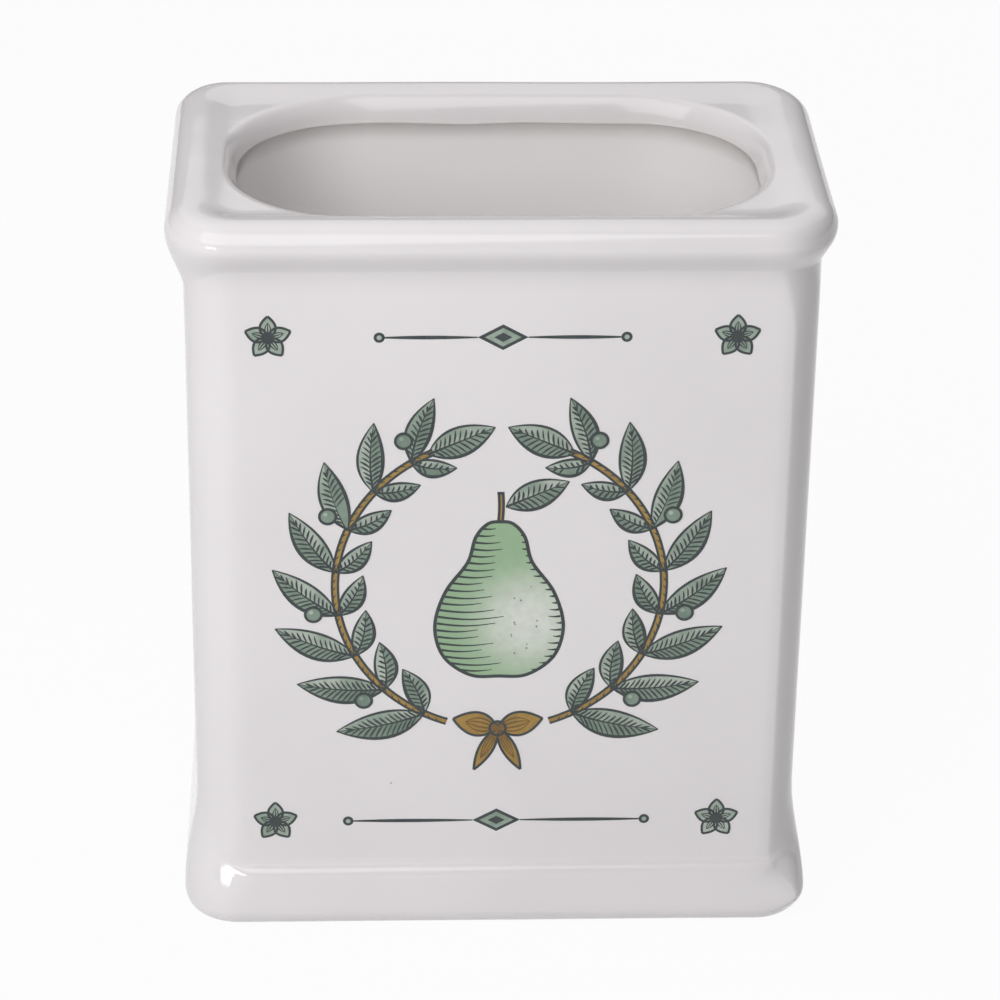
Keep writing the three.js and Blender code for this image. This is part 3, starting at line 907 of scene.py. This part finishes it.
class Transfer:
    """One ceramic transfer: closed layers of ink, laid on the front wall."""

    def __init__(self, name, node, slot, inks):
        self.name = name
        self.node = node
        self.slot = slot
        self.inks = inks
        self.points = []
        self.faces = []
        self.face_inks = []
        self.count = 0

    def layer(self, outline, fill, ink_name, lift):
        """A closed layer: its outline, the triangles or quads that fill it, its ink and its height."""
        lift += LAYER_STEP * (self.count % LAYER_STEPS)
        self.count += 1
        first = len(self.points)
        size = len(outline)
        self.points += [(p.real, PRINT_PLANE - lift, p.imag) for p in outline]
        self.points += [(p.real, PRINT_PLANE + KEYED_IN, p.imag) for p in outline]
        faces = [tuple(first + i for i in face) for face in fill]
        faces += [tuple(first + size + i for i in reversed(face)) for face in fill]
        for i in range(size):
            after = (i + 1) % size
            faces.append((first + after, first + i, first + size + i, first + size + after))
        self.faces += faces
        self.face_inks += [list(self.inks).index(ink_name)] * len(faces)

    def wash(self, outline, ink_name, lift=WASH_LIFT):
        """A flat area of ink inside an anticlockwise or clockwise outline."""
        turns = sum((a.conjugate() * b).imag for a, b in zip(outline, outline[1:] + outline[:1]))
        if turns < 0:
            outline = outline[::-1]
        corners = [Vector((p.real, p.imag, 0)) for p in outline]
        triangles = []
        for a, b, c in tessellate_polygon([corners]):
            turn = ((outline[b] - outline[a]).conjugate() * (outline[c] - outline[a])).imag
            triangles.append((a, b, c) if turn > 0 else (a, c, b))
        self.layer(outline, triangles, ink_name, lift)

    def line(self, path, width, ink_name="charcoal_line", lift=LINE_LIFT):
        """A drawn line. Width is a function of the share of the way along it."""
        last = len(path) - 1
        left, right = [], []
        for i, point in enumerate(path):
            ahead = path[min(i + 1, last)] - path[max(i - 1, 0)]
            across = 1j * ahead / abs(ahead) * width(i / last) / 2
            left.append(point + across)
            right.append(point - across)
        outline = right + left[::-1]
        size = len(outline)
        quads = [(i, i + 1, size - 2 - i, size - 1 - i) for i in range(last)]
        self.layer(outline, quads, ink_name, lift)

    def loop(self, outline, width, lift=LINE_LIFT):
        """A drawn line that closes on itself, as two halves that meet."""
        half = len(outline) // 2
        self.line(outline[:half + 1], even(width), lift=lift)
        self.line(outline[half:] + outline[:1], even(width), lift=lift)

    def made(self):
        materials = list(self.inks.values())
        piece = new_piece(self.name, self.points, self.faces, materials, self.face_inks)
        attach(piece, "root")
        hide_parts(self.node)


def draw_leaf(transfer, start, angle, length, width, bend=0.0):
    """A pointed leaf: a wash, a darker lower half, an outline, a midrib and engraved side veins."""
    tip = along(start, angle, length)
    sides = blade(start, angle, length, width, bend)
    middles = [path[len(path) // 2] for path in sides]
    heights = [middle.imag - SHADED_SIDE_LEAN * middle.real for middle in middles]
    lower, upper = sides if heights[0] <= heights[1] else sides[::-1]
    rib = bezier(start, along(start, angle, length * LEAF_BELLY_SHARE, bend), tip)
    transfer.wash(enclosed(lower, upper), "leaf_wash")
    transfer.wash(enclosed(lower, rib), "leaf_shade", SHADE_LIFT)
    transfer.line(lower, tapered(OUTLINE_WIDTH * PEN_SHADED))
    transfer.line(upper, tapered(OUTLINE_WIDTH * PEN_LIGHT))
    transfer.line(rib, pointed(VEIN_WIDTH))
    veins = max(FEWEST_VEINS, int(length / HATCH_PITCH))
    chance = random.Random(transfer.count)
    for i in range(1, veins):
        root = VEIN_FIRST + VEIN_SPREAD * i / veins
        ahead = min(root + VEIN_SLANT, VEIN_LAST)
        foot = at_share(rib, root)
        for side, reach in ((lower, VEIN_SHADED_REACH), (upper, chance.uniform(*VEIN_LIT_REACH))):
            head = foot + (at_share(side, ahead) - foot) * reach
            knee = foot + (head - foot) * 0.5 + (tip - start) / length * VEIN_BOW
            vein = bezier(foot, knee, head, steps=5)
            transfer.line(vein, tapered(HATCH_WIDTH * chance.uniform(*PEN_UNSTEADY)))


def draw_berry(transfer, stem, angle):
    centre = along(stem, angle, BERRY_STALK)
    transfer.line([stem, along(stem, angle, BERRY_STALK / 2), centre], even(BERRY_STALK_WIDTH))
    outline = circle(centre, BERRY_RADIUS)
    transfer.wash(outline, "berry", BERRY_LIFT)
    transfer.loop(outline, OUTLINE_WIDTH * PEN_BERRY, BERRY_LIFT + SHADE_LIFT)
    light = circle(centre + BERRY_LIGHT_PLACE, BERRY_LIGHT_RADIUS, steps=14)
    transfer.wash(light, "leaf_wash", BERRY_LIFT + SHADE_LIFT)


def branch(side, name, node, inks):
    """Half of the wreath. Side is 1 for the right-hand branch and -1 for its mirror image."""
    transfer = Transfer(name, node, "sage_enamel", inks)

    def on_twig(angle, out=0.0):
        reach = BRANCH_RADIUS + out
        return PANEL_CENTRE + complex(side * reach * math.cos(angle), reach * math.sin(angle))

    def heading(angle, lean):
        return angle + lean if side > 0 else math.pi - angle - lean

    sweep = BRANCH_TOP_ANGLE - BRANCH_BOTTOM_ANGLE
    pairs = round(BRANCH_RADIUS * sweep / LEAF_PITCH)
    turns = [BRANCH_BOTTOM_ANGLE + sweep * i / BRANCH_STEPS for i in range(BRANCH_STEPS + 1)]
    for out in (-0.5, 0.5):
        transfer.line([on_twig(a, out * BRANCH_WIDTH) for a in turns], even(OUTLINE_WIDTH * PEN_FINE))
    transfer.line([on_twig(a) for a in turns], even(BRANCH_WIDTH), "twig", SHADE_LIFT)
    marks = int(BRANCH_RADIUS * sweep / BARK_PITCH)
    for i in range(1, marks):
        angle = BRANCH_BOTTOM_ANGLE + sweep * i / marks
        mark = []
        for k in range(3):
            mark.append(on_twig(angle + k * BARK_TURN, (BARK_EDGE - BARK_SLANT * k) * BRANCH_WIDTH))
        transfer.line(mark, pointed(HATCH_WIDTH * PEN_FINE))
    for i in range(pairs):
        share = (i + 0.5) / pairs
        angle = BRANCH_BOTTOM_ANGLE + sweep * share
        size = 1 - (1 - TIP_LEAF_SHARE) * share
        stem = on_twig(angle)
        outer = heading(angle, math.pi / 2 - LEAF_ANGLE)
        inner = heading(angle, math.pi / 2 + LEAF_ANGLE)
        bend = side * LEAF_BEND
        draw_leaf(transfer, stem, outer, LEAF_LENGTH * size, LEAF_WIDTH * size, -bend)
        draw_leaf(transfer, stem, inner, INNER_LEAF_LENGTH * size, INNER_LEAF_WIDTH * size, bend)
        if i % 2 == 1:
            draw_berry(transfer, stem, heading(angle, BERRY_LEAN))
    tip_angle = heading(BRANCH_TOP_ANGLE, math.pi / 2)
    tip_start = along(on_twig(BRANCH_TOP_ANGLE), tip_angle, -BRANCH_WIDTH)
    draw_leaf(transfer, tip_start, tip_angle, LEAF_LENGTH * TIP_LEAF_SHARE, LEAF_WIDTH)
    transfer.made()


def bow(inks):
    """The ribbon that ties the branches: two loops, two tails and a knot, with folds drawn in."""
    transfer = Transfer("tied_bow", "bow_print", "ochre_enamel", inks)
    knot = along(PANEL_CENTRE, -math.pi / 2, BRANCH_RADIUS)
    tail = (BOW_TAIL_ANGLE, BOW_TAIL_LENGTH, BOW_TAIL_WIDTH)
    loop = (BOW_LOOP_ANGLE, BOW_LOOP_LENGTH, BOW_LOOP_WIDTH)
    for angle, length, width in (tail, loop):
        for aim in (angle, math.pi - angle):
            paths = blade(knot, aim, length, width)
            transfer.wash(enclosed(*paths), "ribbon")
            for path in paths:
                transfer.line(path, even(OUTLINE_WIDTH * PEN_LIGHT))
            fold_end = along(knot, aim, length * BOW_FOLD_REACH)
            for spread in BOW_FOLDS:
                fold = bezier(knot, along(knot, aim, length * LEAF_BELLY_SHARE, spread * width), fold_end)
                transfer.line(fold, pointed(HATCH_WIDTH * PEN_FOLD), "ribbon_shade")
    outline = circle(knot, BOW_KNOT_RADIUS)
    transfer.wash(outline, "ribbon_shade", SHADE_LIFT)
    transfer.loop(outline, OUTLINE_WIDTH * PEN_LIGHT)
    transfer.made()


def pear(inks, low, high):
    """The pear: a shaded wash with engraved strokes round its left side, and a few freckles."""
    transfer = Transfer("pear", "pear_print", "pale_green_enamel", inks)
    half = (high.x - low.x) / 2 / MM
    foot = low.z / MM
    height = high.z / MM - foot

    def flank(side):
        return [complex(side * half * across, foot + height * up) for across, up in PEAR_OUTLINE]

    bottom, crown = complex(0, foot), complex(0, foot + height)
    outline = rounded([bottom, *flank(1), crown, *flank(-1)[::-1]])
    transfer.wash(outline, "pear_skin")
    transfer.loop(outline, OUTLINE_WIDTH * PEN_FULL)
    right = outline[:len(outline) // 2 + 1]
    chance = random.Random(PEAR_SEED)
    rows = int(height / PEAR_HATCH_PITCH)
    for row in range(1, rows):
        level = foot + height * row / rows
        width = np.interp(level, [p.imag for p in right], [p.real for p in right])
        shaded = (-1, chance.uniform(*PEAR_SHADED_REACH))
        lit = (1, chance.uniform(*PEAR_LIT_REACH))
        for side, reach in (shaded, lit):
            sag = PEAR_STROKE_SAG * width * reach
            stroke = []
            for k in range(PEAR_STROKE_STEPS + 1):
                t = k / PEAR_STROKE_STEPS
                across = side * width * (PEAR_STROKE_START - reach * t)
                stroke.append(complex(across, level - sag * math.sin(math.pi * t)))
            transfer.line(stroke, pointed(HATCH_WIDTH * PEN_FULL))
    for _ in range(PEAR_FRECKLES):
        level = foot + height * chance.uniform(*PEAR_FRECKLE_SPREAD)
        place = complex(half * chance.uniform(*PEAR_FRECKLE_SPREAD), level)
        freckle = circle(place, chance.uniform(*PEAR_FRECKLE_RADII), steps=10)
        transfer.wash(freckle, "pear_line", LINE_LIFT)
    transfer.made()


def pear_stalk(inks, low, high):
    transfer = Transfer("pear_stalk", "pear_stalk_print", "ochre_enamel", inks)
    foot, head = complex(0, low.z / MM), complex(0, high.z / MM)
    knee = (foot + head) / 2 + PEAR_STALK_BEND
    path = bezier(foot, knee, head, steps=10)
    transfer.line(path, even(PEAR_STALK_WIDTH), "ribbon", WASH_LIFT)
    for side in (-1, 1):
        edge = [p + side * (PEAR_STALK_WIDTH - OUTLINE_WIDTH) / 2 for p in path]
        transfer.line(edge, even(OUTLINE_WIDTH * PEN_LIGHT))
    cap = PEAR_STALK_WIDTH / 2
    transfer.line([head - cap, head, head + cap], even(OUTLINE_WIDTH))
    transfer.made()


def pear_leaf(inks, low):
    transfer = Transfer("pear_leaf", "pear_leaf_print", "sage_enamel", inks)
    stalk_low, stalk_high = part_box("pear_stalk_print")
    start = complex(low.x, (stalk_low.z + stalk_high.z) / 2) / MM
    draw_leaf(transfer, start, PEAR_LEAF_ANGLE, PEAR_LEAF_LENGTH, PEAR_LEAF_WIDTH)
    transfer.made()


def rule(name, node, inks):
    """A ruled ornament: two tapering lines out of a lozenge, with a ring at each end."""
    transfer = Transfer(name, node, "charcoal_enamel", inks)
    low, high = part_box(node)
    centre = complex(low.x + high.x, low.z + high.z) / 2 / MM
    reach = (high.x - low.x) / 2 / MM - RULE_END_RADIUS
    for side in (-1, 1):
        end = centre + side * reach
        start = centre + side * LOZENGE_LENGTH / 2
        path = [start + (end - start) * k / RULE_STEPS for k in range(RULE_STEPS + 1)]
        transfer.line(path, tapered(RULE_WIDTH))
        transfer.wash(circle(end, RULE_END_RADIUS), "charcoal_line")
        transfer.wash(circle(end, RULE_EYE_RADIUS, steps=16), "leaf_wash", LINE_LIFT)
    for share, ink_name, lift in LOZENGE_LAYERS:
        half_x = share * LOZENGE_LENGTH / 2
        half_z = share * LOZENGE_HEIGHT / 2
        lozenge = [centre + half_x, centre + 1j * half_z, centre - half_x, centre - 1j * half_z]
        transfer.wash(lozenge, ink_name, lift)
    transfer.made()


def rosette(name, node, inks):
    """A small five-petalled flower, outlined and lightly shaded."""
    transfer = Transfer(name, node, "charcoal_enamel", inks)
    low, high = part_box(node)
    centre = complex((low.x + high.x) / 2 / MM, high.z / MM - ROSETTE_RADIUS)
    belly = ROSETTE_RADIUS * LEAF_BELLY_SHARE
    for i in range(ROSETTE_PETALS):
        angle = math.pi / 2 + 2 * math.pi * i / ROSETTE_PETALS
        paths = blade(centre, angle, ROSETTE_RADIUS, ROSETTE_PETAL_WIDTH)
        transfer.wash(enclosed(*paths), "leaf_wash")
        for path in paths:
            transfer.line(path, even(OUTLINE_WIDTH * PEN_FINE))
        vein_end = along(centre, angle, ROSETTE_RADIUS * ROSETTE_VEIN_REACH)
        for spread in ROSETTE_VEINS:
            knee = along(centre, angle, belly, spread * ROSETTE_PETAL_WIDTH)
            transfer.line(bezier(centre, knee, vein_end, steps=6), pointed(HATCH_WIDTH))
    transfer.wash(circle(centre, ROSETTE_HEART_RADIUS, steps=20), "charcoal_line", LINE_LIFT)
    transfer.made()


def print_pieces():
    """Every transfer of the print, with the inks that they share."""
    pear_low, pear_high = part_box("pear_print")
    pear_centre = complex(pear_low.x + pear_high.x, pear_low.z + pear_high.z) / 2 / MM
    charcoal = ink("charcoal_line", CHARCOAL, SAGE_SHADE, depth=0.1)
    sage = ink("sage_enamel", SAGE_LIGHT, SAGE, depth=1.0, waves=SAGE_WAVES)
    sage_shade = ink("sage_shade", SAGE, SAGE_SHADE, depth=1.0, waves=SAGE_WAVES)
    ochre = ink("ochre_enamel", OCHRE, OCHRE_SHADE, depth=0.45)
    ochre_shade = ink("ochre_shade", OCHRE_SHADE, CHARCOAL, depth=0.25)
    pale = pear_ink(pear_centre, pear_high.z / MM - pear_low.z / MM)
    leafy = {
        "charcoal_line": charcoal,
        "leaf_wash": sage,
        "leaf_shade": sage_shade,
        "twig": ochre,
        "berry": sage_shade,
    }
    ribbon = {"charcoal_line": charcoal, "ribbon": ochre, "ribbon_shade": ochre_shade}
    branch(-1, "left_branch", "left_branch_print", leafy)
    branch(1, "right_branch", "right_branch_print", leafy)
    bow(ribbon)
    pear({"charcoal_line": charcoal, "pear_skin": pale, "pear_line": sage_shade}, pear_low, pear_high)
    pear_stalk(ribbon, *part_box("pear_stalk_print"))
    pear_leaf(leafy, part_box("pear_leaf_print")[0])
    rule("top_rule", "top_rule_print", leafy)
    rule("base_rule", "base_rule_print", leafy)
    for height in ("upper", "lower"):
        for side in ("left", "right"):
            rosette(f"{height}_{side}_rosette", f"{height}_{side}_rosette_print", leafy)


# Studio

def floor():
    """A pale floor that shows white to the camera and in reflections, and keeps the crock's shadow."""
    corners = [(FLOOR_HALF * x, FLOOR_HALF * y, 0) for x, y in ((-1, -1), (1, -1), (1, 1), (-1, 1))]
    material, finish = new_finish("pale_floor")
    seen = finish.node("ShaderNodeLightPath", output="Is Camera Ray")
    mirrored = finish.node("ShaderNodeLightPath", output="Is Glossy Ray")
    through = finish.node("ShaderNodeLightPath", output="Is Transmission Ray")
    matt = finish.node("ShaderNodeBsdfDiffuse", None, {"Color": FLOOR_WHITE})
    white = finish.node("ShaderNodeEmission", None, {"Color": WHITE, "Strength": 1.0})
    share = (seen + mirrored + through) * FLOOR_WHITE_SHARE
    shader = finish.node("ShaderNodeMixShader", None, {0: share, 1: matt, 2: white})
    finish.node("ShaderNodeOutputMaterial", None, {"Surface": shader})
    piece = new_piece("floor", corners, [(0, 1, 2, 3)], [material])


def softbox(name, azimuth, elevation, distance, width, height, power):
    """A rectangular lamp that faces the crock's middle. Azimuth 0 is in front, and left is negative."""
    turn, rise = math.radians(azimuth), math.radians(elevation)
    away = Vector((math.sin(turn) * math.cos(rise), -math.cos(turn) * math.cos(rise), math.sin(rise)))
    lamp = bpy.data.lights.new(name, "AREA")
    lamp.shape = "RECTANGLE"
    lamp.size = width * MM
    lamp.size_y = height * MM
    lamp.energy = power
    fitting = bpy.data.objects.new(name, lamp)
    fitting.location = (Vector((0, 0, HEIGHT / 2)) + away * distance) * MM
    fitting.rotation_euler = away.to_track_quat("Z", "Y").to_euler()
    bpy.context.scene.collection.objects.link(fitting)


def room_light(strength):
    world = bpy.data.worlds.new("studio")
    finish = Finish(world)
    sky = finish.node("ShaderNodeBackground", None, {"Color": WHITE, "Strength": strength})
    finish.node("ShaderNodeOutputWorld", None, {"Surface": sky})
    bpy.context.scene.world = world


def camera():
    """The camera in front of the crock, looking down on it and a little from the left."""
    level_forward = Vector((0, math.cos(CAMERA_ELEVATION), -math.sin(CAMERA_ELEVATION)))
    level_up = Vector((0, math.sin(CAMERA_ELEVATION), math.cos(CAMERA_ELEVATION)))
    level_right = Vector((1, 0, 0))
    right = level_right * math.cos(CAMERA_ROLL) + level_up * math.sin(CAMERA_ROLL)
    up = level_up * math.cos(CAMERA_ROLL) - level_right * math.sin(CAMERA_ROLL)
    axes = Matrix((right, up, -level_forward)).transposed().to_4x4()
    axes.translation = (CAMERA_TARGET - level_forward * CAMERA_DISTANCE) * MM
    lens = bpy.data.cameras.new("photo_camera")
    lens.lens = CAMERA_LENS
    lens.sensor_width = CAMERA_SENSOR
    lens.clip_start = CAMERA_NEAR * MM
    body = bpy.data.objects.new("photo_camera", lens)
    body.matrix_world = Matrix.Rotation(-CAMERA_YAW, 4, "Z") @ axes
    bpy.context.scene.collection.objects.link(body)
    bpy.context.scene.camera = body


casting = cast_body()
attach(casting, "root")
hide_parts("cast_body")
print_pieces()

floor()
room_light(strength=0.06)
softbox("key_softbox", azimuth=-27, elevation=43, distance=700, width=650, height=650, power=3.5)
softbox("low_softbox", azimuth=-33, elevation=1, distance=1000, width=300, height=120, power=1.15)
softbox("left_softbox", azimuth=-95, elevation=30, distance=1000, width=1100, height=1100, power=0.4)
softbox("back_softbox", azimuth=170, elevation=62, distance=1000, width=1500, height=1500, power=5.6)
camera()
bpy.context.scene.view_settings.view_transform = "Standard"
